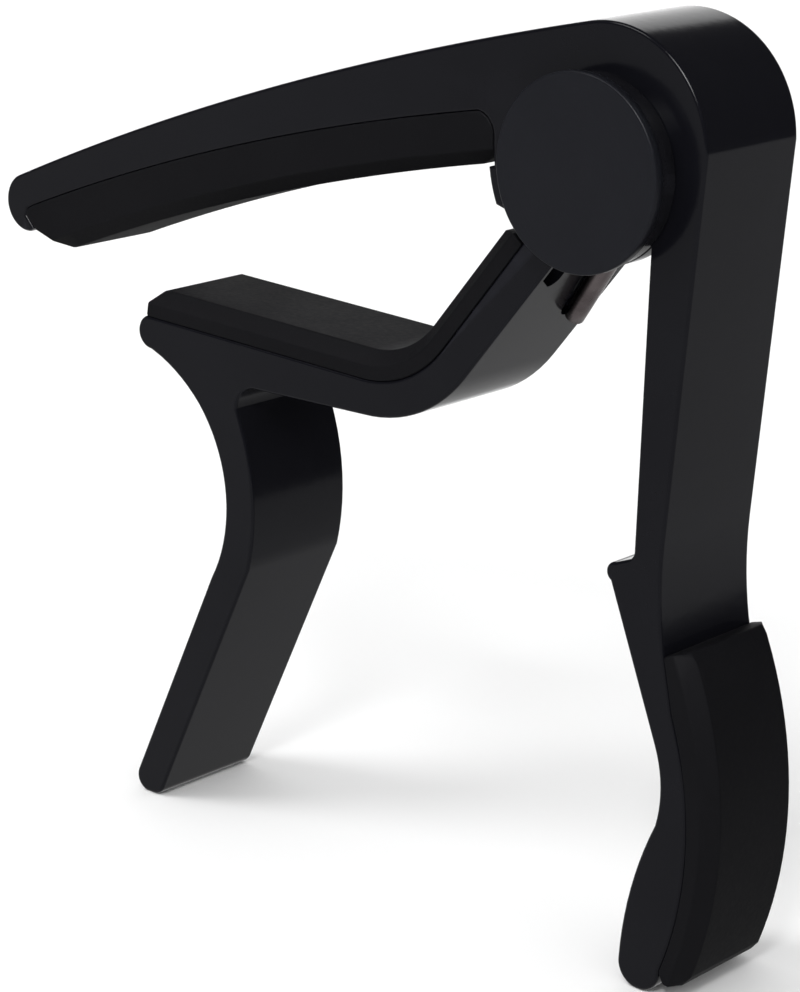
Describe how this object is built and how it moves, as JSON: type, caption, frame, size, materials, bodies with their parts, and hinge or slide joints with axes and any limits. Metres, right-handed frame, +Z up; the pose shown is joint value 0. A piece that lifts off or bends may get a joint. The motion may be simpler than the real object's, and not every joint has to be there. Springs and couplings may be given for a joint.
{
  "type": "guitar capo",
  "caption": "Spring-loaded guitar capo: a rubber-faced bar presses the strings and a rubber-faced jaw closes behind the neck; squeezing its two handles opens it.",
  "frame": {"origin": "middle of the bounding box, on the surface the two handle tips stand on", "axes": "+X from the string bar's nose towards the hub and the long handle, +Y along the pin from the pictured side to the hidden side, +Z up"},
  "size_m": [0.0896, 0.0188, 0.0844],
  "materials": {
    "arm_black": "satin",
    "rubber_black": "matte",
    "pin_steel": "satin",
    "spring_steel": "satin",
    "spacer_black": "satin",
    "cap_black": "satin"
  },
  "bodies": {
    "string_arm": {"string_arm": "arm_black", "string_pad": "rubber_black", "grip_pad": "rubber_black", "pivot_pin": "pin_steel", "torsion_spring": "spring_steel", "front_spacer": "spacer_black", "back_spacer": "spacer_black", "front_cap": "cap_black", "back_cap": "cap_black"},
    "neck_arm": {"neck_arm": "arm_black", "neck_pad": "rubber_black"}
  },
  "joints": [
    {"name": "jaw_hinge", "type": "hinge", "parent": "string_arm", "child": "neck_arm", "pos_m": [0.02918, 0, 0.072], "axis": [0, -1, 0], "range_deg": [0, 35], "stiffness_Nm_per_rad": 0.8, "springref_deg": -45.84, "deforming": ["torsion_spring"]}
  ]
}
